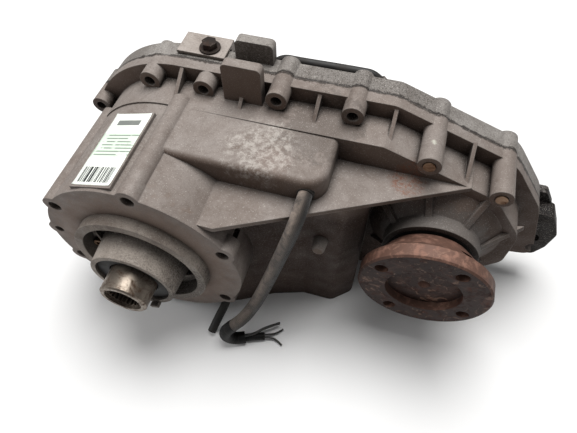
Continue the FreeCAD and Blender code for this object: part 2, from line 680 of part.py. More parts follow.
def input_shaft():
    body = lathe([(INPUT_TIP_Y, 0), (INPUT_TIP_Y, INPUT_R - 1.2), (INPUT_TIP_Y + 1.2, INPUT_R),
                  (2, INPUT_R), (2, INPUT_SEAT_R), (27, INPUT_SEAT_R), (27, SUN_BORE_R),
                  (DOG_FACE_Y, SUN_BORE_R), (DOG_FACE_Y, 0)])
    spline = [(SPLINE_TIP_R, 0.095), (SPLINE_ROOT_R, 0.055)]
    bore = toothed(0, 0, INPUT_TIP_Y - 1, INPUT_TIP_Y + 36, SPLINE_TEETH, spline)
    counterbore = disc(0, 0, INPUT_TIP_Y - 1, INPUT_TIP_Y + 3, SPLINE_ROOT_R + 0.6)
    pilot = disc(0, 0, PILOT_BORE_Y, DOG_FACE_Y + 1, PILOT_NOSE_R + RUN)
    return body.cut([bore, counterbore, pilot])


PILOT_BORE_Y = 37.0
PILOT_NOSE_R = 10.0
DOG_FACE_Y = 52.0
DOG_BODY_R = 22.6
SUN_BORE_R = 24.0


def sun_gear():
    pitch_r = MODULE * SUN_TEETH / 2
    flank = gear_flank(SUN_TEETH, [pitch_r - DEDENDUM * MODULE, pitch_r + ADDENDUM * MODULE])
    body = toothed(0, 0, GEAR_Y, GEAR_END_Y, SUN_TEETH, flank)
    bore = disc(0, 0, GEAR_Y - 1, DOG_FACE_Y, SUN_BORE_R)
    dogs = toothed(0, 0, DOG_FACE_Y, GEAR_END_Y + 1, DOG_TEETH, dog_flank(0.35))
    return body.cut([bore, dogs])


def ring_gear():
    pitch_r = MODULE * RING_TEETH / 2
    flank = gear_flank(RING_TEETH, [pitch_r + DEDENDUM * MODULE, pitch_r - ADDENDUM * MODULE], True)
    blank = disc(0, 0, GEAR_Y, GEAR_END_Y, RING_OUTER_R)
    gap = math.pi / RING_TEETH
    spaces = [(r, gap - half) for r, half in reversed(flank)]
    return blank.cut(toothed(0, 0, GEAR_Y - 1, GEAR_END_Y + 1, RING_TEETH, spaces, gap))


def planet_gear(index):
    pitch_r = MODULE * PLANET_TEETH / 2
    radii = [pitch_r - DEDENDUM * MODULE, pitch_r, pitch_r + ADDENDUM * MODULE]
    flank = gear_flank(PLANET_TEETH, radii)
    angle = 360.0 / PLANETS * index
    x, z = polar(PLANET_CENTRE_R, angle)
    turn = math.radians(angle) + (math.pi / PLANET_TEETH if index % 2 == 0 else 0.0)
    wheel = toothed(x, z, GEAR_Y + SIDE_GAP, GEAR_END_Y - SIDE_GAP, PLANET_TEETH, flank, turn)
    return wheel.cut(disc(x, z, GEAR_Y, GEAR_END_Y, PLANET_PIN_R + RUN))


CARRIER_R = PLANET_CENTRE_R + 7.0
CARRIER_PLATE = 5.0
LOW_DOG_Y = COLLAR_Y + DOG_LENGTH + RANGE_TRAVEL + 0.3
LOW_DOG_END_Y = 70.9
LOW_RING_R = 31.0


def planet_carrier():
    front = ring(0, 0, GEAR_Y - CARRIER_PLATE, GEAR_Y - SIDE_GAP, CARRIER_R, 32.0)
    plate_y = GEAR_END_Y + SIDE_GAP
    back = ring(0, 0, plate_y, plate_y + CARRIER_PLATE, CARRIER_R, 20.0)
    back = back.fuse(ring(0, 0, plate_y, LOW_DOG_END_Y, LOW_RING_R, 20.0))
    dogs = toothed(0, 0, GEAR_END_Y, LOW_DOG_END_Y + 1, DOG_TEETH, dog_flank(0.35))
    way_in = disc(0, 0, GEAR_END_Y, LOW_DOG_Y, DOG_R + 0.6)
    webs = []
    for i in range(PLANETS):
        web = block(48.0, CARRIER_R - 1, GEAR_Y - 1, GEAR_END_Y + 1, -8, 8)
        web.rotate(V(0, 0, 0), ALONG, -(45 + 90 * i))
        webs.append(web)
    pins = [disc(*polar(PLANET_CENTRE_R, 90 * i), GEAR_Y - 10, GEAR_END_Y + 10, PLANET_PIN_R)
            for i in range(PLANETS)]
    return front.fuse([back.cut([dogs, way_in])] + webs).cut(pins).removeSplitter()


def planet_pins():
    return Part.makeCompound([
        disc(*polar(PLANET_CENTRE_R, 90 * i), GEAR_Y - CARRIER_PLATE,
             GEAR_END_Y + SIDE_GAP + CARRIER_PLATE, PLANET_PIN_R) for i in range(PLANETS)])


# ---- Range collar, fork and cam --------------------------------------------------------------------

GROOVE_Y = 71.0
GROOVE_WIDTH = 7.0
GROOVE_R = 21.0
COLLAR_END_Y = 82.0


def range_collar():
    body = lathe([(COLLAR_Y, SHAFT_R + RUN), (COLLAR_Y, DOG_BODY_R), (GROOVE_Y, DOG_BODY_R),
                  (GROOVE_Y, GROOVE_R), (GROOVE_Y + GROOVE_WIDTH, GROOVE_R),
                  (GROOVE_Y + GROOVE_WIDTH, 26), (COLLAR_END_Y, 26),
                  (COLLAR_END_Y, SHAFT_R + RUN)])
    teeth = toothed(0, 0, COLLAR_Y, COLLAR_Y + DOG_LENGTH, DOG_TEETH, dog_flank(0.0))
    return body.fuse(teeth.cut(disc(0, 0, COLLAR_Y - 1, COLLAR_Y + DOG_LENGTH + 1, SHAFT_R + 2)))


FORK_GAP = 0.35
FORK_OUTER_R = 34.0
FORK_PIN_R = 2.6


def range_fork():
    y0 = GROOVE_Y + FORK_GAP
    y1 = GROOVE_Y + GROOVE_WIDTH - FORK_GAP
    arch = ring(0, 0, y0, y1, FORK_OUTER_R, GROOVE_R + FORK_GAP)
    arch = arch.cut(block(-50, 50, y0 - 1, y1 + 1, 2, 60))
    arm = plate([(12, -24), (31, -14), (RAIL_X + 8, RAIL_Z + 6), (RAIL_X - 8, RAIL_Z + 2)], y0, y1)
    arm = arm.cut(disc(0, 0, y0 - 1, y1 + 1, FORK_OUTER_R - 4))
    boss = disc(RAIL_X, RAIL_Z, y0 - 6, y1 + 14, RAIL_R + 5)
    pin_y = y1 + 8
    pin = Part.makeCylinder(FORK_PIN_R, CAM_X - CAM_R + 3 - RAIL_X, V(RAIL_X, pin_y, RAIL_Z), V(1, 0, 0))
    fork = arch.fuse([arm, boss, pin]).removeSplitter()
    return fork.cut(disc(RAIL_X, RAIL_Z, y0 - 20, y1 + 40, RAIL_R + RUN))


def shift_rail():
    return disc(RAIL_X, RAIL_Z, POCKET[2] - 12, CASE_BACK_Y - 6, RAIL_R)


def shift_cam():
    """Drum with a helical groove that drives the fork pin, on the motor's spindle."""
    pin_y = GROOVE_Y + GROOVE_WIDTH - FORK_GAP + 8
    lead = RANGE_TRAVEL * 360.0 / CAM_TURN
    drum = disc(CAM_X, RAIL_Z, pin_y - 8, pin_y + RANGE_TRAVEL + 8, CAM_R)
    turns = (CAM_TURN + 60.0) / 360.0
    half = FORK_PIN_R + 0.3
    start = pin_y - 30.0 / 360.0 * lead
    helix = Part.makeHelix(lead, lead * turns, CAM_R)
    profile = Part.makePolygon([V(CAM_R - 4, 0, -half), V(CAM_R + 2, 0, -half), V(CAM_R + 2, 0, half),
                                V(CAM_R - 4, 0, half), V(CAM_R - 4, 0, -half)])
    groove = Part.Wire(helix).makePipeShell([profile], True, True)
    groove.rotate(V(0, 0, 0), V(0, 0, 1), -30)
    # the helix rises along +Z: lay it along +Y, with the pin's place at its start on the -X side
    groove.rotate(V(0, 0, 0), V(1, 0, 0), -90)
    groove.rotate(V(0, 0, 0), ALONG, 180)
    groove.translate(V(CAM_X, start, RAIL_Z))
    spindle = disc(CAM_X, RAIL_Z, pin_y + 6, CASE_BACK_Y + 12, SPINDLE_R)
    return drum.cut(groove).fuse(spindle)


MOTOR = (66.0, 138.0, 154.0, 200.0, -95.0, -50.0)


def motor_housing():
    x0, x1, y0, y1, z0, z1 = MOTOR
    gearbox = rounded_block(x0, x1, y0, y0 + 22, z0, z1, 8.0, lambda c: abs(c.y - y0 - 11) < 1)
    can = disc(x1 - 24, (z0 + z1) / 2, y0 + 20, y1, 17.0)
    body = gearbox.fuse(can)
    return body.cut(disc(CAM_X, RAIL_Z, y0 - 1, y0 + 13, SPINDLE_R + 4))


def motor_screws():
    x0, x1, y0, y1, z0, z1 = MOTOR
    places = [(x0 + 7, z1 - 7), (x1 - 7, z0 + 7), (x1 - 7, z1 - 7), (x0 + 7, z0 + 7)]
    return Part.makeCompound([hexagon(x, z, y0 + 22, y0 + 26, 9.0) for x, z in places])


# ---- Main shaft, clutch and rear output -------------------------------------------------------------

SHOULDER_R = 24.0
SHOULDER_Y = 93.0
SPROCKET_Y = CHAIN_Y - CHAIN_WIDTH / 2
SPROCKET_END_Y = CHAIN_Y + CHAIN_WIDTH / 2
HUB_R = 16.0
DRUM_R = 47.0
DRUM_WALL = 3.0
DRUM_END_Y = 155.0
CLUTCH_HUB_R = 30.0
PLATE_THICK = 2.2
PLATE_GAP = 0.25
PLATE_PAIRS = 2
APPLY_TRAVEL = 0.6
REAR_FLANGE_Y = TAIL_END_Y + 0.6
REAR_RECESS_Y = REAR_Y - 6.0
THREAD_R = 10.0


def main_shaft():
    return lathe([(PILOT_BORE_Y + 2, 0), (PILOT_BORE_Y + 2, PILOT_NOSE_R), (DOG_FACE_Y + 1, PILOT_NOSE_R),
                  (DOG_FACE_Y + 1, SHAFT_R), (SHOULDER_Y, SHAFT_R), (SHOULDER_Y, SHOULDER_R),
                  (SPROCKET_Y - SIDE_GAP, SHOULDER_R), (SPROCKET_Y - SIDE_GAP, JOURNAL_R),
                  (SPROCKET_END_Y + 4.5, JOURNAL_R), (SPROCKET_END_Y + 4.5, HUB_R),
                  (TAIL_BEARING_Y - 1, HUB_R), (TAIL_BEARING_Y - 1, TAIL_SHAFT_R),
                  (REAR_RECESS_Y, TAIL_SHAFT_R), (REAR_RECESS_Y, THREAD_R), (REAR_Y - 0.5, THREAD_R),
                  (REAR_Y - 0.5, 0)])


def sprocket(x, bore_r, phase):
    """Wheel for an inverted-tooth chain: one tooth per link, standing in the link's crotch."""
    flank = [(SPROCKET_ROOT_R, 3.3 / SPROCKET_ROOT_R), (SPROCKET_TIP_R, 1.2 / SPROCKET_TIP_R)]
    wheel = toothed(x, 0, SPROCKET_Y, SPROCKET_END_Y, SPROCKET_TEETH, flank, phase)
    return wheel.cut(disc(x, 0, SPROCKET_Y - 1, SPROCKET_END_Y + 1, bore_r))


def drive_sprocket():
    return sprocket(0, JOURNAL_R + RUN, math.pi / 2 + STEP / 2)


def clutch_drum():
    y0 = SPROCKET_END_Y
    return lathe([(y0, JOURNAL_R + RUN), (y0, DRUM_R), (DRUM_END_Y, DRUM_R),
                  (DRUM_END_Y, DRUM_R - DRUM_WALL), (y0 + DRUM_WALL, DRUM_R - DRUM_WALL),
                  (y0 + DRUM_WALL, JOURNAL_R + RUN)])


def clutch_hub():
    y0 = SPROCKET_END_Y + 5.0
    return lathe([(y0, HUB_R), (y0, CLUTCH_HUB_R), (DRUM_END_Y - 2, CLUTCH_HUB_R),
                  (DRUM_END_Y - 2, CLUTCH_HUB_R - 4), (y0 + 6, CLUTCH_HUB_R - 4), (y0 + 6, HUB_R)])


def clutch_plates(first, r_out, r_in):
    """Every second plate of the pack, starting at the first or the second place."""
    rings = []
    pace = PLATE_THICK + PLATE_GAP
    for i in range(PLATE_PAIRS):
        y = SPROCKET_END_Y + DRUM_WALL + 2.5 + pace * (2 * i + first)
        rings.append(ring(0, 0, y, y + PLATE_THICK, r_out, r_in))
    return Part.makeCompound(rings)


def apply_plate():
    y = SPROCKET_END_Y + DRUM_WALL + 2.5 + (PLATE_THICK + PLATE_GAP) * 2 * PLATE_PAIRS + APPLY_TRAVEL
    return lathe([(y, CLUTCH_HUB_R + 0.5), (y, DRUM_R - DRUM_WALL - 0.8),
                  (y + 3, DRUM_R - DRUM_WALL - 0.8), (DRUM_END_Y + 1, DRUM_R - 10),
                  (DRUM_END_Y + 3, DRUM_R - 10), (DRUM_END_Y + 3, HUB_R + RUN),
                  (DRUM_END_Y, HUB_R + RUN), (DRUM_END_Y, CLUTCH_HUB_R + 0.5)])


def clutch_coil():
    y0 = DRUM_END_Y + 4.0
    return ring(0, 0, y0, CLUTCH_CAVITY_END_Y, CLUTCH_CAVITY_R - PRESS, 24.0)


def oil_pump():
    return ring(0, 0, CLUTCH_CAVITY_END_Y, CLUTCH_CAVITY_END_Y + 5, PUMP_R, HUB_R + RUN)


def tone_wheel():
    teeth = [(24.0, 0.07), (27.0, 0.05)]
    wheel = toothed(0, 0, 174.0, 179.0, 24, teeth)
    return wheel.cut(disc(0, 0, 173, 180, HUB_R))


def rear_output_flange():
    body = lathe([(TAIL_BEARING_Y + TAIL_BEARING_WIDTH, TAIL_SHAFT_R),
                  (TAIL_BEARING_Y + TAIL_BEARING_WIDTH, 21), (REAR_FLANGE_Y, 21),
                  (REAR_FLANGE_Y, REAR_FLANGE_R), (REAR_Y, REAR_FLANGE_R), (REAR_Y, REAR_PILOT_R),
                  (REAR_RECESS_Y, REAR_PILOT_R), (REAR_RECESS_Y, TAIL_SHAFT_R)])
    holes = [disc(*polar(REAR_BOLT_R, 45 + 90 * i), REAR_FLANGE_Y - 1, REAR_Y + 1, REAR_HOLE_R)
             for i in range(4)]
    return body.cut(holes)


def rear_nut():
    return hexagon(0, 0, REAR_RECESS_Y, REAR_Y - 0.5, 30.0).cut(
        disc(0, 0, REAR_RECESS_Y - 1, REAR_Y, THREAD_R))


# ---- Front output ----------------------------------------------------------------------------------

def front_output_shaft():
    y0 = OUTPUT_FLANGE_Y
    back = y0 + OUTPUT_FLANGE_THICK
    body = lathe([(y0 + OUTPUT_RECESS_DEPTH, 0), (y0 + OUTPUT_RECESS_DEPTH, OUTPUT_RECESS_R),
                  (y0, OUTPUT_RECESS_R), (y0, OUTPUT_FLANGE_R - 1.5), (y0 + 1.5, OUTPUT_FLANGE_R),
                  (back - 1, OUTPUT_FLANGE_R), (back, OUTPUT_FLANGE_R - 1), (back + 4, 46.0),
                  (back + 20.4, 33.0), (back + 20.4, OUTPUT_SHAFT_R),
                  (97.0, OUTPUT_SHAFT_R), (97.0, JOURNAL_R), (SPROCKET_END_Y, JOURNAL_R),
                  (SPROCKET_END_Y, NEEDLE_JOURNAL_R), (NEEDLE_END_Y, NEEDLE_JOURNAL_R),
                  (NEEDLE_END_Y, 0)], CENTRES, 0)
    holes = [disc(*polar(OUTPUT_BOLT_R, 60 + 90 * i, CENTRES, 0), y0 - 1, back + 8, OUTPUT_HOLE_R)
             for i in range(4)]
    dimple = Part.makeCone(5.0, 0.5, 7.0, V(CENTRES, y0 + OUTPUT_RECESS_DEPTH, 0), ALONG)
    return body.cut(holes + [dimple])


def driven_sprocket():
    return sprocket(CENTRES, JOURNAL_R, math.pi / 2)


def needle_bearing():
    return ring(CENTRES, 0, NEEDLE_Y, NEEDLE_END_Y, NEEDLE_R, NEEDLE_JOURNAL_R + RUN)


# ---- Chain ----------------------------------------------------------------------------------------

def chain_pins():
    """Pin centres (x, z) in order round the loop, clockwise from the top of the input sprocket."""
    wrapped = SPROCKET_TEETH // 2
    pins = [(PITCH * i, PITCH_R) for i in range(STRAIGHT_PITCHES + 1)]
    for i in range(wrapped):
        a = math.pi / 2 - STEP / 2 - STEP * i
        pins.append((CENTRES + PITCH_R * math.cos(a), PITCH_R * math.sin(a)))
    pins += [(CENTRES - PITCH * i, -PITCH_R) for i in range(STRAIGHT_PITCHES + 1)]
    for i in range(wrapped):
        a = -math.pi / 2 - STEP / 2 - STEP * i
        pins.append((PITCH_R * math.cos(a), PITCH_R * math.sin(a)))
    return pins


def link_plate(start, end, y0, y1):
    """One inverted-tooth plate: two toes that straddle a sprocket tooth, and a crowned back."""
    ux, uz = (end[0] - start[0]) / PITCH, (end[1] - start[1]) / PITCH
    outline = [(-2.6, -1.0), (0.3, -TOE_DEPTH), (1.3, -TOE_DEPTH), (3.3, -0.9)]
    outline += [(PITCH - a, d) for a, d in reversed(outline)]
    outline += [(PITCH + 1.2, CHAIN_BACK), (-1.2, CHAIN_BACK)]
    return plate([(start[0] + a * ux - d * uz, start[1] + a * uz + d * ux) for a, d in outline], y0, y1)


def drive_chain():
    pins = chain_pins()
    half = CHAIN_WIDTH / 2
    lane = CHAIN_WIDTH / 4
    plates = []
    for i, start in enumerate(pins):
        end = pins[(i + 1) % len(pins)]
        if i % 2:
            plates.append(link_plate(start, end, CHAIN_Y - lane, CHAIN_Y + lane))
        else:
            plates.append(link_plate(start, end, CHAIN_Y - half, CHAIN_Y - lane))
            plates.append(link_plate(start, end, CHAIN_Y + lane, CHAIN_Y + half))
    return Part.makeCompound(plates)


# ---- Cable, hoses, bracket and small fittings ------------------------------------------------------

def cord_path(route, name):
    """Straight runs joined by tangent arcs; prints the arc radii."""
    points = [V(*p) for p in route]
    edges = []
    radii = []
    last = points[0]
    for i in range(1, len(points) - 1):
        back = points[i - 1] - points[i]
        ahead = points[i + 1] - points[i]
        half = (math.pi - back.getAngle(ahead)) / 2
        reach = 0.45 * min(back.Length, ahead.Length)
        radius = reach / math.tan(half)
        radii.append(round(radius, 1))
        back.normalize()
        ahead.normalize()
        start = points[i] + back * reach
        end = points[i] + ahead * reach
        middle = (back + ahead).normalize()
        top = points[i] + middle * (radius / math.cos(half) - radius)
        edges.append(Part.LineSegment(last, start).toShape())
        edges.append(Part.Arc(start, top, end).toShape())
        last = end
    edges.append(Part.LineSegment(last, points[-1]).toShape())
    wire = Part.Wire(edges)
    print(name, "length", round(wire.Length, 1), "radii", radii)
    return wire


def cord(route, r, name):
    wire = cord_path(route, name)
    start = V(*route[0])
    heading = V(*route[1]) - start
    circle = Part.Wire(Part.makeCircle(r, start, heading))
    tube = wire.makePipeShell([circle], True, False)
    print(name, "volume ratio", round(tube.Volume / (math.pi * r * r * wire.Length), 4))
    return tube


def bracket():
    """Folded sheet-metal hanger on the seam, with its ends and back edge turned down."""
    top = block(BRACKET_X0, BRACKET_X1, 133, 157, BRACKET_Z, BRACKET_Z + SHEET)
    right = block(BRACKET_X1 - SHEET, BRACKET_X1, 149, 157, BRACKET_Z - 6, BRACKET_Z + SHEET)
    left = block(BRACKET_X0, BRACKET_X0 + SHEET, 149, 157, BRACKET_Z - 6, BRACKET_Z + SHEET)
    back = block(BRACKET_X0, BRACKET_X1, 157 - SHEET, 157, BRACKET_Z - 9, BRACKET_Z + SHEET)
    body = top.fuse([right, left, back]).removeSplitter()
    return body.cut(Part.makeCylinder(HANGER_BOLT_R + 0.4, 20, V(*HANGER, BRACKET_Z - 10)))


def bracket_bolt():
    """Flanged hexagon bolt standing in the bracket."""
    seat = BRACKET_Z + SHEET
    head = hexagon(0, 0, 0, 6.5, 11.0)
    head.rotate(V(0, 0, 0), V(1, 0, 0), 90)
    head.translate(V(*HANGER, seat))
    washer = Part.makeCylinder(8.5, 1.5, V(*HANGER, seat))
    shank = Part.makeCylinder(HANGER_BOLT_R, HANGER_DEPTH + SHEET, V(*HANGER, BRACKET_Z - HANGER_DEPTH))
    return head.fuse([washer, shank]).removeSplitter()


def gland():
    """Rubber plug where the cable leaves the pad."""
    return disc(*GLAND, LOOM_ROUTE[0][1], PAD_Y + 8, GLAND_R)


def level_plug():
    """Small cast-in plug on the front wall of the lower body."""
    return lathe([(LOWER_Y, 0), (LOWER_Y, 6.0), (LOWER_Y - 9, 5.2), (LOWER_Y - 11, 4.2),
                  (LOWER_Y - 11, 0)], 136.4, 10.5)


def speed_sensor():
    """Pick-up looking at the tone wheel from the -X side, with a larger head outside the tail."""
    outward = V(-1, 0, 0)
    stem = Part.makeCylinder(SENSOR_R, 24.0, V(-28.0, SENSOR_Y, 0), outward)
    head = Part.makeCylinder(SENSOR_HEAD_R, 17.0, V(-SENSOR_SEAT_X, SENSOR_Y, 0), outward)
    return stem.fuse(head)


def magnet():
    return block(99, 110, 98, 112, POCKET[3], POCKET[3] + 4)


def write(name, shape):
    shape.exportStep("parts/" + name + ".step")


def main():
    os.makedirs("parts", exist_ok=True)
    makers = {
        "front_case": front_case,
        "rear_case": rear_case,
        "case_sealant": sealant,
        "case_bolts": seam_bolts,
        "case_dowels": dowels,
        "fill_and_drain_plugs": plugs,
        "input_bearing_retainer": input_retainer,
        "retainer_bolts": retainer_bolts,
        "input_seal": lambda: seal(0, 0, -22.0, -12.0, NOSE_R - 4 - PRESS, INPUT_R),
        "input_bearing_outer": lambda: outer_race(0, 0, INPUT_BEARING_Y, INPUT_BEARING_WIDTH,
                                                  INPUT_BEARING_R, INPUT_SEAT_R + INNER_RACE_WALL),
        "input_bearing_inner": lambda: inner_race(0, 0, INPUT_BEARING_Y, INPUT_BEARING_WIDTH,
                                                  INPUT_SEAT_R, INPUT_SEAT_R + INNER_RACE_WALL),
        "input_shaft": input_shaft,
        "sun_gear": sun_gear,
        "ring_gear": ring_gear,
        "planet_carrier": planet_carrier,
        "planet_pins": planet_pins,
        "range_collar": range_collar,
        "range_fork": range_fork,
        "shift_rail": shift_rail,
        "shift_cam": shift_cam,
        "shift_motor": motor_housing,
        "shift_motor_screws": motor_screws,
        "main_shaft": main_shaft,
        "drive_sprocket": drive_sprocket,
        "clutch_drum": clutch_drum,
        "clutch_hub": clutch_hub,
        "clutch_steel_plates": lambda: clutch_plates(0, DRUM_R - DRUM_WALL, CLUTCH_HUB_R + 1.5),
        "clutch_friction_plates": lambda: clutch_plates(1, DRUM_R - DRUM_WALL - 1.5, CLUTCH_HUB_R),
        "clutch_apply_plate": apply_plate,
        "clutch_coil": clutch_coil,
        "oil_pump": oil_pump,
        "tone_wheel": tone_wheel,
        "speed_sensor": speed_sensor,
        "rear_bearing_outer": lambda: outer_race(0, 0, TAIL_BEARING_Y, TAIL_BEARING_WIDTH,
                                                 TAIL_BEARING_R, TAIL_SHAFT_R + 5),
        "rear_bearing_inner": lambda: inner_race(0, 0, TAIL_BEARING_Y, TAIL_BEARING_WIDTH,
                                                 TAIL_SHAFT_R, TAIL_SHAFT_R + 5),
        "rear_seal": lambda: seal(0, 0, TAIL_END_Y - 7, TAIL_END_Y, TAIL_SEAL_R, 21.0),
        "rear_output_flange": rear_output_flange,
        "rear_flange_nut": rear_nut,
        "front_output_shaft": front_output_shaft,
        "driven_sprocket": driven_sprocket,
        "front_output_seal": lambda: seal(CENTRES, 0, 65.5, 73.0, OUTPUT_SEAL_R, OUTPUT_SHAFT_R),
        "front_output_bearing_outer": lambda: outer_race(
            CENTRES, 0, OUTPUT_BEARING_Y, OUTPUT_BEARING_WIDTH, OUTPUT_BEARING_R,
            OUTPUT_SHAFT_R + 5),
        "front_output_bearing_inner": lambda: inner_race(
            CENTRES, 0, OUTPUT_BEARING_Y, OUTPUT_BEARING_WIDTH, OUTPUT_SHAFT_R, OUTPUT_SHAFT_R + 5),
        "front_output_needle_bearing": needle_bearing,
        "drive_chain": drive_chain,
        "hanger_bracket": bracket,
        "hanger_bolt": bracket_bolt,
        "level_plug": level_plug,
        "sump_magnet": magnet,
        "harness_gland": gland,
        "breather_hose": lambda: cord(HOSE_ROUTE, HOSE_R, "breather_hose"),
        "harness_loom": lambda: cord(LOOM_ROUTE, LOOM_R, "harness_loom"),
        "harness_tape": lambda: Part.makeCompound(
            [cord(FOLD_ROUTE, FOLD_R, "harness_fold"), cord(TAPE_ROUTE, TAPE_R, "harness_tape")]),
        "harness_wires": lambda: Part.makeCompound(
            [cord(STRAND_ROUTE, STRAND_R, "harness_strand")]
            + [cord(route, WIRE_R, "harness_wire") for route in WIRE_ROUTES]),
        "drain_tube": lambda: cord(STUB_ROUTE, STUB_R, "drain_tube"),
    }
    for index in range(PLANETS):
        makers["planet_gear_%d" % (index + 1)] = lambda i=index: planet_gear(i)
    for name, maker in makers.items():
        write(name, maker())


main()
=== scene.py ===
import math

import bpy
from mathutils import Matrix, Vector


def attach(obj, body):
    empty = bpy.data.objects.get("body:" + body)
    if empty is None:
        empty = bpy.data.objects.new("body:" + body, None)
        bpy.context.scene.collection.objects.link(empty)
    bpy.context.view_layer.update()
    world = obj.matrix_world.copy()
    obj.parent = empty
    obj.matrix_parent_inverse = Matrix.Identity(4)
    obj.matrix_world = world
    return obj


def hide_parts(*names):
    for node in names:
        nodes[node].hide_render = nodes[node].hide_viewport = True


# Looks of the transfer case: materials for every CAD piece, the flexible cords, the paper
# sticker, and a plain studio. Metres, in the row frame: Y along the shafts, Z up as it lies.

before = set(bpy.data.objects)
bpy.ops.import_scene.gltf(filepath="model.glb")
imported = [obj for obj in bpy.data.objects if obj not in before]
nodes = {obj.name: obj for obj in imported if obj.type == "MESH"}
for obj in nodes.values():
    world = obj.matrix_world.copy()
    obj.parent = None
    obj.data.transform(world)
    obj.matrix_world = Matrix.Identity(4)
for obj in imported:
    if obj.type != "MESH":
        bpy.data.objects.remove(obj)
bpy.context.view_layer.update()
MM = 0.001
FLOOR_Z = -0.097
SEAM_Y = 0.130
SMEAR_REACH = 0.009
THREADS_ALONG = 210.0
THREADS_ROUND = 14.0
TAPE_TURNS = 7.0
FORM_ROWS = 22.0
BARS_ACROSS = 16.0


# ---- Node helpers ---------------------------------------------------------------------------------

class Shader:
    """One Principled material and short calls that wire nodes into it."""

    def __init__(self, name, roughness=0.5, metallic=0.0, **sockets):
        self.material = bpy.data.materials.new(name)
        self.material.use_nodes = True
        self.tree = self.material.node_tree
        self.bsdf = self.tree.nodes["Principled BSDF"]
        self.bsdf.inputs["Roughness"].default_value = roughness
        self.bsdf.inputs["Metallic"].default_value = metallic
        for key, value in sockets.items():
            self.bsdf.inputs[key.replace("_", " ")].default_value = value
        self.place = self.tree.nodes.new("ShaderNodeTexCoord").outputs["Object"]
        self.normal = None

    def node(self, kind, inputs=None, **settings):
        made = self.tree.nodes.new("ShaderNode" + kind)
        for key, value in settings.items():
            setattr(made, key, value)
        for key, value in (inputs or {}).items():
            if isinstance(value, bpy.types.NodeSocket):
                self.tree.links.new(value, made.inputs[key])
            else:
                made.inputs[key].default_value = value
        return made

    def noise(self, scale, detail=3.0, rough=0.55, distort=0.0, at=None):
        made = self.node("TexNoise", {"Vector": at or self.place, "Scale": scale, "Detail": detail,
                                      "Roughness": rough, "Distortion": distort})
        return made.outputs["Fac"]

    def band(self, value, low, high, to_low=0.0, to_high=1.0):
        made = self.node("MapRange", {"Value": value, "From Min": low, "From Max": high,
                                      "To Min": to_low, "To Max": to_high})
        return made.outputs["Result"]

    def math(self, operation, a, b=0.0):
        made = self.node("Math", {0: a, 1: b}, operation=operation, use_clamp=operation != "SUBTRACT")
        return made.outputs[0]

    def math_free(self, operation, a, b=0.0):
        """The same without the clamp to 0..1."""
        return self.node("Math", {0: a, 1: b}, operation=operation).outputs[0]

    def times(self, *shares):
        """Product of shares, each between nought and one."""
        total = shares[0]
        for share in shares[1:]:
            total = self.math("MULTIPLY", total, share)
        return total

    def lay(self, colour, tint, *shares):
        """Lays a tint over a colour, as thick as the product of the shares."""
        return self.mix(self.times(*shares), colour, tint)

    def mix(self, share, a, b, blend="MIX"):
        made = self.node("Mix", data_type="RGBA", blend_type=blend)
        for index, value in ((0, share), (6, a), (7, b)):
            if isinstance(value, bpy.types.NodeSocket):
                self.tree.links.new(value, made.inputs[index])
            else:
                made.inputs[index].default_value = value
        return made.outputs[2]

    def axis(self, name):
        return self.node("SeparateXYZ", {0: self.place}).outputs[name]

    def along_and_across(self):
        """The two coordinates laid out on a cord or a sheet."""
        parts = self.node("SeparateXYZ", {0: self.node("TexCoord").outputs["UV"]})
        return parts.outputs["X"], parts.outputs["Y"]

    def facing(self, axis):
        """Component of the surface's own direction along X, Y or Z."""
        return self.node("SeparateXYZ", {0: self.node("NewGeometry").outputs["Normal"]}).outputs[axis]

    def spot(self, centre, radius, ragged=0.5, scale=160.0):
        """Patch round a place on the object: one inside, nought outside, with a ragged edge."""
        gap = self.node("VectorMath", {0: self.place, 1: Vector(centre)}, operation="DISTANCE")
        reach = self.math("DIVIDE", gap.outputs["Value"], radius * 2)
        broken = self.times(self.noise(scale, 5.0, 0.7), ragged)
        return self.band(self.math("ADD", reach, broken), 0.5 + ragged * 0.62, 0.5 + ragged * 0.36)

    def occlusion_shade(self, distance):
        """Painted shade: one where walls stand close together, from ambient occlusion."""
        return self.math("SUBTRACT", 1.0, self.node("AmbientOcclusion", {"Distance": distance},
                                                    samples=6).outputs["AO"])

    def rounded(self, radius):
        """Softens hard edges in the shading; returns how much each place lies on an edge."""
        self.normal = self.node("Bevel", {"Radius": radius}, samples=4).outputs["Normal"]
        flat = self.node("NewGeometry").outputs["Normal"]
        along = self.node("VectorMath", {0: self.normal, 1: flat}, operation="DOT_PRODUCT")
        return self.band(along.outputs["Value"], 0.995, 0.90)

    def bump(self, height, depth, strength=1.0):
        inputs = {"Height": height, "Distance": depth, "Strength": strength}
        if self.normal:
            inputs["Normal"] = self.normal
        self.normal = self.node("Bump", inputs).outputs["Normal"]

    def done(self, colour, roughness=None):
        self.tree.links.new(colour, self.bsdf.inputs["Base Color"])
        if roughness is not None:
            self.tree.links.new(roughness, self.bsdf.inputs["Roughness"])
        if self.normal:
            self.tree.links.new(self.normal, self.bsdf.inputs["Normal"])
        return self.material


def rgb(red, green, blue):
    """Colour from 0-255 display values."""
    return tuple((c / 255.0) ** 2.2 for c in (red, green, blue)) + (1.0,)


# ---- Materials ------------------------------------------------------------------------------------

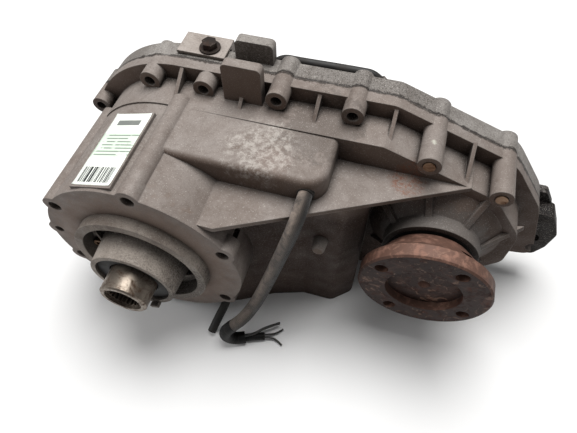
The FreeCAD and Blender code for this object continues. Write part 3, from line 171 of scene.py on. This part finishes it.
def cast(name, light, middle, dark, film, grime_and_shade, oil_and_shade_amount=0.0, marks=(), flaked=(), front=0.80, grit=0.34):
    """Sand-cast aluminium: dust on what faces up; a dark film on the front faces, partly dirt and partly
    painted shade; painted shade in the grime colour under down-facing faces and in corners; oil grime with
    painted shade low on the lower body.

    A mark is a centre and radius in millimetres, a tint, how ragged its edge is and its share;
    a flaked patch has the scale of its grain in place of the raggedness.
    """
    s = Shader(name, metallic=0.12, Specular_IOR_Level=0.32)
    cloud = s.band(s.noise(16.0, 5.0, 0.62, 0.7), 0.36, 0.64)
    colour = s.mix(cloud, middle, light)
    streak = s.band(s.noise(42.0, 6.0, 0.7, 1.6), 0.47, 0.70)
    colour = s.lay(colour, dark, streak, 0.45)
    # Painted shade, partly a dirty film: the film colour laid on faces that look towards -Y, less on the
    # foremost faces near Y = 0, as much as front says.
    ahead = s.band(s.facing("Y"), -0.15, -0.95)
    set_back = s.band(s.axis("Y"), 0.002, 0.030, 0.25, 1.0)
    colour = s.lay(colour, film, ahead, set_back, front)
    # Painted shade: the grime colour laid on faces that look down.
    underside_shade = s.band(s.facing("Z"), 0.10, -0.80)
    colour = s.lay(colour, grime_and_shade, underside_shade, 0.8)
    # Oil grime and painted shade: the low sides of the lower body darker towards the bottom.
    if oil_and_shade_amount:
        colour = s.lay(colour, grime_and_shade, oil_and_shade_mask(s), oil_and_shade_amount)
    for centre, radius, tint, ragged, most in marks:
        patch = s.spot([c * MM for c in centre], radius * MM, ragged)
        colour = s.lay(colour, tint, patch, most)
    for centre, radius, tint, scale, most in flaked:
        patch = s.spot([c * MM for c in centre], radius * MM, 0.8, 90.0)
        grain = s.noise(scale, 6.0, 0.74)
        flakes = s.band(grain, 0.46, 0.58, 0.12, 1.0)
        pores = s.band(grain, 0.44, 0.38)
        colour = s.lay(colour, tint, patch, flakes, most)
        colour = s.lay(colour, film, patch, pores, most)
    colour = s.lay(colour, grime_and_shade, seam_smear(s), 0.85)
    # Painted shade: the grime colour laid where walls stand close, in small corners and in wider recesses.
    close_shade = s.band(s.occlusion_shade(0.007), 0.28, 0.80)
    colour = s.lay(colour, grime_and_shade, close_shade, 0.85)
    wide_shade = s.band(s.occlusion_shade(0.030), 0.36, 0.80)
    colour = s.lay(colour, grime_and_shade, wide_shade, 0.80)
    pits = s.band(s.noise(620.0, 3.0, 0.7), 0.53, 0.66)
    colour = s.lay(colour, dark, pits, grit + 0.04)
    specks = s.band(s.noise(1150.0, 2.0, 0.6), 0.60, 0.70)
    lying = s.band(s.facing("Z"), -0.2, 0.6, 0.35, 1.0)
    colour = s.lay(colour, PALE_DUST, specks, lying, grit)
    edge = s.rounded(1.3 * MM)
    worn = s.band(s.noise(90.0, 4.0, 0.6), 0.35, 0.65, 0.15, 0.75)
    colour = s.lay(colour, light, edge, worn, 0.5)
    s.bump(s.noise(1400.0, 3.0, 0.6), 0.12 * MM, 0.6)
    s.bump(s.noise(300.0, 4.0, 0.6), 0.25 * MM, 0.5)
    return s.done(colour, s.band(s.noise(70.0, 3.0), 0.3, 0.7, 0.55, 0.85))


def oil_and_shade_mask(s):
    """Share of old oil grime and painted shade on the low sides of the lower body, darker towards the
    bottom, thinner round the front output.
    """
    low = s.band(s.axis("Z"), 0.060, 0.040)
    behind_flange = s.band(s.axis("Y"), 0.012, 0.030)
    side = s.band(s.facing("Z"), 0.75, 0.25)
    lower_body = s.band(s.axis("X"), 0.205, 0.185, 0.5, 1.0)
    blotches = s.band(s.noise(20.0, 4.0, 0.6, 0.8), 0.25, 0.55, 0.78, 1.0)
    return s.times(s.times(low, behind_flange), s.times(side, lower_body), blotches)


def seam_smear(s):
    """Share of grime along the joint of the two halves, with a ragged edge."""
    from_seam = s.math_free("ABSOLUTE", s.math_free("SUBTRACT", s.axis("Y"), SEAM_Y))
    reach = s.math_free("MULTIPLY", s.noise(130.0, 5.0, 0.7), SMEAR_REACH)
    return s.band(s.math_free("SUBTRACT", reach, from_seam), 0.0022, 0.0036)


def steel(name, base, stain, amount, roughness=0.32, lines=0.0, oil=False):
    """Turned or ground steel: fine rings about the shaft, with spots of stain."""
    s = Shader(name, metallic=0.95)
    fine = s.band(s.noise(900.0, 3.0, 0.6), 0.45, 0.75)
    colour = s.lay(base, stain, fine, 0.25)
    blotch = s.band(s.noise(120.0, 5.0, 0.7, 0.8), 0.62 - amount * 0.3, 0.75 - amount * 0.2)
    colour = s.lay(colour, stain, blotch, min(1.0, amount * 1.6))
    # Painted shade: dark colour where walls stand close.
    corner = s.band(s.occlusion_shade(0.006), 0.3, 0.9)
    colour = s.lay(colour, rgb(28, 22, 18), corner, 0.7)
    s.rounded(0.35 * MM)
    if lines:
        wave = s.node("TexWave", {"Vector": s.place, "Scale": lines, "Distortion": 0.6, "Detail": 2.0,
                                  "Detail Scale": 3.0}, bands_direction="Y")
        s.bump(wave.outputs["Fac"], 0.02 * MM, 0.35)
    s.bump(s.noise(700.0, 3.0, 0.65), 0.05 * MM, 0.4)
    if oil:
        return s.done(colour, s.band(s.noise(60.0, 3.0), 0.3, 0.7, roughness * 0.7, roughness * 1.2))
    return s.done(colour, s.band(blotch, 0.0, 1.0, roughness, roughness + 0.32))


def rust(name, bare, brown, orange, black, share, dusty=None):
    """Iron with a skin of rust: brown film, orange bloom, dark pits, grease and painted shade on the front
    faces, bare scrapes, painted shade in the corners.
    """
    s = Shader(name, metallic=0.15, Specular_IOR_Level=0.3)
    film = s.band(s.noise(38.0, 5.0, 0.65, 0.9), 0.34, 0.62)
    colour = s.mix(film, black, brown)
    bloom = s.band(s.noise(150.0, 6.0, 0.72, 0.4), 0.50, 0.70)
    colour = s.lay(colour, orange, bloom, share)
    pits = s.band(s.noise(420.0, 4.0, 0.7), 0.56, 0.72)
    colour = s.lay(colour, black, pits, 0.6)
    # Grease and painted shade: dark patches on faces that look towards -X of the shafts, that is towards
    # -Y.
    ahead = s.band(s.facing("Y"), -0.6, -0.95)
    grease_and_shade = s.band(s.noise(60.0, 5.0, 0.7, 0.8), 0.62, 0.50)
    colour = s.lay(colour, rgb(36, 19, 13), ahead, grease_and_shade, 0.8)
    scrape = s.band(s.noise(75.0, 6.0, 0.65, 2.0), 0.57, 0.64)
    colour = s.lay(colour, bare, scrape, 0.45)
    if dusty:
        lying = s.band(s.facing("Z"), 0.15, 0.9)
        settled = s.band(bloom, 0.0, 0.6, 0.5, 1.0)
        colour = s.lay(colour, dusty, lying, settled, 0.65)
    # Painted shade: near-black colour where walls stand close.
    corner = s.band(s.occlusion_shade(0.008), 0.3, 0.9)
    colour = s.lay(colour, rgb(20, 14, 11), corner, 0.8)
    s.rounded(0.8 * MM)
    s.bump(s.noise(520.0, 5.0, 0.7), 0.18 * MM, 0.7)
    s.bump(s.noise(110.0, 5.0, 0.65), 0.30 * MM, 0.5)
    return s.done(colour, s.band(bloom, 0.0, 1.0, 0.60, 0.90))


def moulded(name, base, dust, roughness, grain=900.0, depth=0.05):
    """Plastic or rubber with dust lying on it."""
    s = Shader(name)
    film = s.band(s.noise(60.0, 5.0, 0.65, 0.5), 0.40, 0.72)
    lying = s.band(s.facing("Z"), -0.1, 0.9, 0.25, 1.0)
    colour = s.lay(base, dust, film, lying, 0.7)
    s.rounded(0.4 * MM)
    s.bump(s.noise(grain, 3.0, 0.6), depth * MM, 0.5)
    return s.done(colour, s.band(film, 0.0, 1.0, roughness, min(0.95, roughness + 0.25)))


def braided(name, base, thread, dust):
    """Woven cable sleeve: two sets of threads that cross, with dust and painted light on the side that
    faces -X and painted shade on the side that faces +X.
    """
    s = Shader(name, Sheen_Weight=0.15)
    along, across = s.along_and_across()
    threads = []
    for lean in (1.0, -1.0):
        turn = s.math_free("MULTIPLY", along, THREADS_ALONG)
        round_it = s.math_free("MULTIPLY", across, THREADS_ROUND * lean)
        angle = s.math_free("MULTIPLY", s.math_free("ADD", turn, round_it), 2.0 * math.pi)
        threads.append(s.band(s.math_free("SINE", angle), -0.3, 1.0))
    weave = s.math("MAXIMUM", threads[0], threads[1])
    colour = s.mix(weave, base, thread)
    patch = s.band(s.noise(85.0, 5.0, 0.65, 0.8), 0.40, 0.62)
    # Dust and painted light: pale patches on faces that look towards -X, more of them high up.
    left = s.band(s.facing("X"), 0.40, -0.45)
    high = s.band(s.axis("Z"), -0.06, 0.05, 0.50, 1.0)
    colour = s.lay(colour, dust, patch, s.times(left, high), 0.85)
    # Painted shade: near-black on faces that look towards +X.
    oil_and_shade_amount = s.band(s.facing("X"), 0.15, 0.75)
    colour = s.lay(colour, rgb(14, 12, 11), oil_and_shade_amount, 0.9)
    s.bump(weave, 0.30 * MM, 0.6)
    s.bump(s.noise(240.0, 4.0, 0.6), 0.5 * MM, 0.5)
    return s.done(colour, s.band(patch, 0.0, 1.0, 0.62, 0.9))


def taped(name, base, painted_sheen):
    """Cloth tape wound round the cable: overlapping turns and creases, with a painted sheen on the lap
    edges and creases.
    """
    s = Shader(name, Specular_IOR_Level=0.25)
    along, across = s.along_and_across()
    lap = s.math_free("FRACT", s.math_free("ADD", s.math_free("MULTIPLY", along, TAPE_TURNS), across))
    # Painted sheen: a lighter tone on the edge of each lapped turn and on the creases.
    colour = s.mix(s.band(lap, 0.80, 1.0), base, painted_sheen)
    crease = s.band(s.noise(200.0, 4.0, 0.7), 0.5, 0.7)
    colour = s.lay(colour, painted_sheen, crease, 0.5)
    s.bump(lap, 0.35 * MM, 0.8)
    s.bump(s.noise(330.0, 4.0, 0.6, 1.5), 0.4 * MM, 0.6)
    return s.done(colour, s.band(s.noise(90.0), 0.3, 0.7, 0.45, 0.7))


def printed_paper(name):
    """Faded sticker with no words: a dark block, a ruled form and bars, with scuffs."""
    s = Shader(name, Specular_IOR_Level=0.4)
    across, up = s.along_and_across()

    def box(left, right, low, high, soft):
        sides = s.times(s.band(across, left, left + 0.01), s.band(across, right, right - 0.01))
        return s.times(sides, s.band(up, low, low + soft), s.band(up, high, high - soft))

    paper = s.mix(s.band(s.noise(40.0, 4.0), 0.35, 0.65), rgb(226, 231, 223), rgb(240, 244, 237))
    form = s.times(s.band(up, 0.36, 0.37), s.band(up, 0.71, 0.70))
    paper = s.lay(paper, rgb(186, 212, 186), form, 0.55)
    rows = s.math_free("FRACT", s.math_free("MULTIPLY", up, FORM_ROWS))
    dashes = s.band(s.noise(90.0, 2.0, 0.5), 0.40, 0.46)
    paper = s.lay(paper, rgb(80, 90, 82), s.band(rows, 0.60, 0.68), s.times(form, dashes), 0.75)
    paper = s.lay(paper, rgb(50, 54, 54), box(0.18, 0.82, 0.82, 0.90, 0.005), 0.8)
    stretched = s.node("CombineXYZ", {0: s.math_free("MULTIPLY", across, BARS_ACROSS), 1: 0.0, 2: 0.0})
    bars = s.band(s.noise(2.0, 1.0, 0.5, at=stretched.outputs[0]), 0.47, 0.50)
    paper = s.lay(paper, rgb(44, 46, 48), bars, box(0.06, 0.94, 0.03, 0.24, 0.01))
    scuff = s.band(s.noise(130.0, 6.0, 0.75, 1.2), 0.60, 0.70)
    paper = s.lay(paper, rgb(150, 146, 138), scuff, 0.5)
    s.bump(s.noise(120.0, 4.0, 0.6), 0.10 * MM, 0.5)
    return s.done(paper, s.band(scuff, 0.0, 1.0, 0.38, 0.75))


# Light, middle, dark, front film and grime of the castings; the film and the grime colour also serve as
# painted shade
TAUPE = (rgb(151, 145, 140), rgb(133, 125, 119), rgb(94, 84, 77), rgb(88, 71, 60), rgb(30, 22, 17))
PALE_DUST = rgb(196, 191, 185)
WHITE_BLOOM = rgb(196, 191, 184)
RED_RUST = rgb(112, 66, 44)
BOSS_PAINT = rgb(206, 206, 192)
SEAM_GREASE = rgb(58, 52, 48)

looks = {
    "front_case": cast("cast_front", *TAUPE, oil_and_shade_amount=0.97, flaked=(
        ((82, 67, 84.5), 25.0, WHITE_BLOOM, 240.0, 0.40),
        ((192, 82, 66.0), 13.0, RED_RUST, 320.0, 0.7),
        ((-30, 45, 78.0), 30.0, WHITE_BLOOM, 420.0, 0.2),
    ), marks=(
        ((0, 2, 0), 74.0, rgb(132, 113, 100), 0.4, 0.55),
        ((96, 60, 84.5), 14.0, RED_RUST, 1.0, 0.22),
        ((202, 101, 94.5), 4.2, BOSS_PAINT, 0.35, 0.9),
        ((120, 96, 88.0), 34.0, SEAM_GREASE, 1.0, 0.55),
        ((223.8, 52, 6.0), 50.0, rgb(92, 88, 85), 0.4, 0.75),
    )),
    "rear_case": cast("cast_rear", rgb(136, 132, 128), rgb(118, 113, 109), rgb(78, 71, 66),
                      rgb(74, 64, 57), rgb(30, 24, 20), grit=0.55, flaked=(
        ((150, 150, 98.0), 60.0, SEAM_GREASE, 700.0, 0.75),
        ((40, 130, 98.0), 40.0, rgb(150, 144, 137), 420.0, 0.3),
    ), marks=(
        ((322, 135, -25.0), 46.0, rgb(20, 15, 13), 0.5, 1.0),
        ((-60, 140, 70.0), 34.0, rgb(84, 78, 73), 0.8, 0.5),
    )),
    "input_bearing_retainer": cast("cast_retainer", rgb(158, 149, 140), rgb(112, 102, 94), rgb(66, 56, 49),
                                   rgb(70, 58, 50), rgb(26, 20, 17), front=0.5, flaked=(
        ((20, -20, -30.0), 70.0, rgb(192, 184, 174), 900.0, 0.35),
    ), marks=(
        # Painted shade: the dark patch on the lower side that faces +X. Painted light, partly dust: the
        # pale patch on the upper side that faces -X.
        ((50, -14, -34.0), 46.0, rgb(40, 33, 28), 0.8, 0.85),
        ((-16, -24, 34.0), 20.0, rgb(168, 159, 150), 0.8, 0.35),
    )),
    "level_plug": cast("cast_plug", *TAUPE),
    "hanger_bracket": cast("cast_bracket", rgb(160, 152, 146), rgb(136, 127, 120), rgb(92, 82, 75),
                           rgb(96, 86, 78), rgb(40, 33, 28)),
}

STUB = steel("worn_shaft_steel", rgb(132, 123, 113), rgb(74, 56, 44), 0.55, 0.42, lines=900.0)
BRIGHT = steel("ground_steel", rgb(190, 184, 176), rgb(110, 88, 70), 0.35, 0.28, lines=900.0)
GEAR = steel("gear_steel", rgb(120, 120, 122), rgb(70, 62, 54), 0.2, 0.25, oil=True)
ZINC = steel("dull_zinc", rgb(138, 114, 94), rgb(88, 58, 42), 0.55, 0.45)
PLATE = steel("clutch_plate_steel", rgb(150, 150, 150), rgb(90, 84, 76), 0.2, 0.35, oil=True)
RUSTED = rust("rusted_flange", rgb(134, 106, 90), rgb(66, 43, 35), rgb(90, 54, 42), rgb(36, 24, 20), 0.6,
              rgb(156, 120, 105))
REAR_RUST = rust("rusted_rear_flange", rgb(150, 138, 128), rgb(88, 66, 54), rgb(112, 72, 52),
                 rgb(48, 36, 30), 0.5)
OLD_BOLT = rust("corroded_bolt", rgb(110, 98, 88), rgb(56, 45, 39), rgb(78, 55, 43), rgb(28, 23, 20), 0.4)
RUBBER = moulded("black_rubber", rgb(24, 23, 22), rgb(60, 55, 50), 0.6)
PLASTIC = moulded("black_plastic", rgb(26, 25, 25), rgb(74, 68, 62), 0.45)
RESIN = moulded("coil_resin", rgb(52, 36, 28), rgb(80, 66, 56), 0.35)
FACING = moulded("paper_facing", rgb(92, 70, 52), rgb(60, 48, 38), 0.7, 600.0, 0.08)
GASKET = moulded("squeezed_sealant", rgb(34, 31, 30), rgb(52, 46, 42), 0.5)
PUMP = cast("cast_pump", rgb(150, 148, 145), rgb(130, 128, 125), rgb(90, 88, 84), rgb(90, 86, 80),
            rgb(50, 46, 42))

for names, made in (
    (("input_shaft",), STUB),
    (("shift_rail", "main_shaft", "planet_pins", "case_dowels"), BRIGHT),
    (("input_bearing_outer", "input_bearing_inner", "rear_bearing_outer", "rear_bearing_inner",
      "front_output_bearing_outer", "front_output_bearing_inner", "front_output_needle_bearing"), BRIGHT),
    (("sun_gear", "ring_gear", "planet_carrier", "planet_gear_1", "planet_gear_2", "planet_gear_3",
      "planet_gear_4", "range_collar", "shift_cam", "drive_sprocket", "driven_sprocket", "drive_chain",
      "clutch_drum", "clutch_hub", "clutch_apply_plate", "tone_wheel"), GEAR),
    (("case_bolts", "retainer_bolts", "fill_and_drain_plugs", "shift_motor_screws",
      "rear_flange_nut"), ZINC),
    (("clutch_steel_plates",), PLATE),
    (("clutch_friction_plates",), FACING),
    (("clutch_coil",), RESIN),
    (("oil_pump", "range_fork"), PUMP),
    (("front_output_shaft",), RUSTED),
    (("rear_output_flange",), REAR_RUST),
    (("hanger_bolt", "sump_magnet"), OLD_BOLT),
    (("input_seal", "rear_seal", "front_output_seal", "harness_gland",
      "drain_tube"), RUBBER),
    (("shift_motor", "speed_sensor"), PLASTIC),
    (("case_sealant",), GASKET),
):
    for name in names:
        looks[name] = made

for name, made in looks.items():
    for place in nodes[name].material_slots:
        place.material = made


# ---- Cords: the routes of part.py, in millimetres as there -------------------------------------------

def cord_curve(name, route, radius, material):
    """Smooth tube along a route given in millimetres."""
    curve = bpy.data.curves.new(name, "CURVE")
    curve.dimensions = "3D"
    curve.resolution_u = 16
    curve.bevel_depth = radius * MM
    curve.bevel_resolution = 7
    curve.use_fill_caps = True
    spline = curve.splines.new("NURBS")
    spline.points.add(len(route) - 1)
    for i, (x, y, z) in enumerate(route):
        spline.points[i].co = (x * MM, y * MM, z * MM, 1.0)
    spline.order_u = 3
    spline.use_endpoint_u = True
    curve.materials.append(material)
    made = bpy.data.objects.new(name, curve)
    bpy.context.scene.collection.objects.link(made)
    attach(made, "case")
    return made


LOOM_ROUTE = [
    (122.5, 44.5, 71.0), (122.5, 33.5, 71.0), (121.3, 24.3, 64.0), (117.0, 19.5, 46.0),
    (110.0, 15.0, 19.0), (102.0, 9.0, -11.0), (94.0, 1.5, -37.0), (88.0, -5.5, -49.5),
    (82.0, -12.0, -58.0), (75.675, -16.29, -63.665),
]
FOLD_ROUTE = [
    (75.675, -16.29, -63.665), (70.5, -19.8, -68.3), (67.8, -21.2, -77.0), (70.0, -20.6, -85.7),
    (76.7, -18.2, -91.0), (84.0, -14.8, -91.0),
]
TAPE_ROUTE = [(84.0, -14.8, -92.6), (91.7, -11.21, -92.6), (101.0, -8.2, -92.9)]
STRAND_ROUTE = [
    (84.0, -14.8, -87.2), (91.2, -11.45, -87.2), (98.4, -3.5, -87.6), (105.5, 2.0, -88.0),
    (111.7, 6.4, -88.6),
]
WIRE_ROUTES = [
    [(100.57, -6.87, -92.9), (106.28, -5.02, -93.09), (111.5, -1.5, -94.0), (115.5, 3.5, -95.0)],
    [(101.43, -9.53, -92.9), (107.14, -7.68, -93.09), (113.0, -8.3, -94.6), (118.5, -11.5, -95.6)],
]
HOSE_ROUTE = [
    (69.4, 151.8, 91.4), (74.6, 152.0, 96.6), (87.0, 152.2, 96.2), (106.0, 152.0, 96.8),
    (122.0, 152.3, 97.0), (137.0, 152.0, 97.4), (148.6, 152.0, 97.4), (153.6, 151.8, 92.4),
]

SLEEVE = braided("woven_sleeve", rgb(26, 22, 20), rgb(78, 69, 62), rgb(150, 136, 125))
TAPE = taped("cloth_tape", rgb(12, 12, 12), rgb(40, 37, 35))
WIRE = moulded("wire_insulation", rgb(30, 29, 29), rgb(70, 66, 62), 0.4)

loom = cord_curve("loom_cord", LOOM_ROUTE, 5.5, SLEEVE)
fold = cord_curve("loom_fold", FOLD_ROUTE, 5.7, TAPE)
tape = cord_curve("loom_tape", TAPE_ROUTE, 3.6, TAPE)
strand = cord_curve("loom_strand", STRAND_ROUTE, 1.3, WIRE)
wires = [cord_curve("loom_wire_%d" % (i + 1), route, 0.9, WIRE) for i, route in enumerate(WIRE_ROUTES)]
hose = cord_curve("vent_hose", HOSE_ROUTE, 3.5, RUBBER)
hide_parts("harness_loom")
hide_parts("harness_tape")
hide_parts("harness_wires")
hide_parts("breather_hose")


# ---- Sticker ----------------------------------------------------------------------------------------

def sticker():
    """Thin sheet on the flat pad of the barrel, its corners lifting a little."""
    angle = math.radians(106.4)
    out = Vector((math.cos(angle), 0.0, math.sin(angle)))
    side = Vector((math.sin(angle), 0.0, -math.cos(angle)))
    along = Vector((0.0, 1.0, 0.0))
    columns, rows = 18, 36
    half_width, y0, y1, base_r = 17.0 * MM, 5.0 * MM, 77.0 * MM, 83.86 * MM
    vertices, faces, coords = [], [], []
    for j in range(rows + 1):
        for i in range(columns + 1):
            u, v = i / columns, j / rows
            from_edge = min(u, 1 - u) * 2 * half_width + min(v, 1 - v) * (y1 - y0)
            lift = 0.5 * MM * max(0.0, 1 - from_edge / (5 * MM)) ** 2
            ripple = 0.05 * MM * math.sin(9 * u + 4 * v) * math.sin(13 * v)
            vertices.append(out * (base_r + lift + abs(ripple)) + side * ((u - 0.5) * 2 * half_width)
                            + along * (y0 + v * (y1 - y0)))
            coords.append((u, v))
    for j in range(rows):
        for i in range(columns):
            corner = j * (columns + 1) + i
            faces.append((corner, corner + 1, corner + columns + 2, corner + columns + 1))
    mesh = bpy.data.meshes.new("sticker")
    mesh.from_pydata(vertices, [], faces)
    layer = mesh.uv_layers.new(name="UVMap")
    for loop in mesh.loops:
        layer.data[loop.index].uv = coords[loop.vertex_index]
    mesh.materials.append(printed_paper("sticker_paper"))
    mesh.shade_smooth()
    made = bpy.data.objects.new("sticker", mesh)
    bpy.context.scene.collection.objects.link(made)
    thick = made.modifiers.new("thickness", "SOLIDIFY")
    thick.thickness = 0.12 * MM
    thick.offset = 0.0
    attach(made, "case")
    return made


sticker()


# ---- Studio -----------------------------------------------------------------------------------------

def studio_floor():
    s = Shader("studio_floor", roughness=0.9)
    tone = s.mix(s.noise(3.0, 2.0), (0.84, 0.84, 0.84, 1), (0.87, 0.87, 0.87, 1))
    mesh = bpy.data.meshes.new("floor")
    reach = 4.0
    mesh.from_pydata([(-reach, -reach, 0), (reach, -reach, 0), (reach, reach, 0), (-reach, reach, 0)],
                     [], [(0, 1, 2, 3)])
    mesh.materials.append(s.done(tone))
    floor = bpy.data.objects.new("floor", mesh)
    floor.location.z = FLOOR_Z - 0.0004
    bpy.context.scene.collection.objects.link(floor)


def area_light(name, place, target, size, power, colour=(1, 1, 1)):
    data = bpy.data.lights.new(name, "AREA")
    data.shape = "DISK"
    data.size = size
    data.energy = power
    data.color = colour
    lamp = bpy.data.objects.new(name, data)
    lamp.location = place
    lamp.rotation_mode = "QUATERNION"
    lamp.rotation_quaternion = (Vector(target) - Vector(place)).to_track_quat("-Z", "Y")
    bpy.context.scene.collection.objects.link(lamp)


studio_floor()
middle = (0.11, 0.08, 0.0)
area_light("overhead", (0.10, 0.42, 1.30), middle, 1.0, 26.0, (1.0, 0.995, 0.985))
area_light("left_fill", (-1.0, -0.3, 0.7), middle, 0.6, 5.0)
world = bpy.data.worlds.new("studio")
world.use_nodes = True
world.node_tree.nodes["Background"].inputs["Color"].default_value = (1, 1, 1, 1)
world.node_tree.nodes["Background"].inputs["Strength"].default_value = 0.20
bpy.context.scene.world = world
bpy.context.scene.view_settings.view_transform = "Standard"

# Camera: above and in front of the unit, turned a little to its left
right = Vector((0.9605, 0.2783, -0.0070))
down = Vector((0.2288, -0.8034, -0.5497))
ahead = Vector((-0.1586, 0.5264, -0.8353))
lens = bpy.data.cameras.new("camera")
lens.sensor_width = 36.0
lens.lens = 31.196
lens.clip_start = 0.01
camera = bpy.data.objects.new("camera", lens)
turn = Matrix((right, -down, -ahead)).transposed()
camera.matrix_world = Matrix.Translation((0.1712, -0.1589, 0.3608)) @ turn.to_4x4()
bpy.context.scene.collection.objects.link(camera)
bpy.context.scene.camera = camera
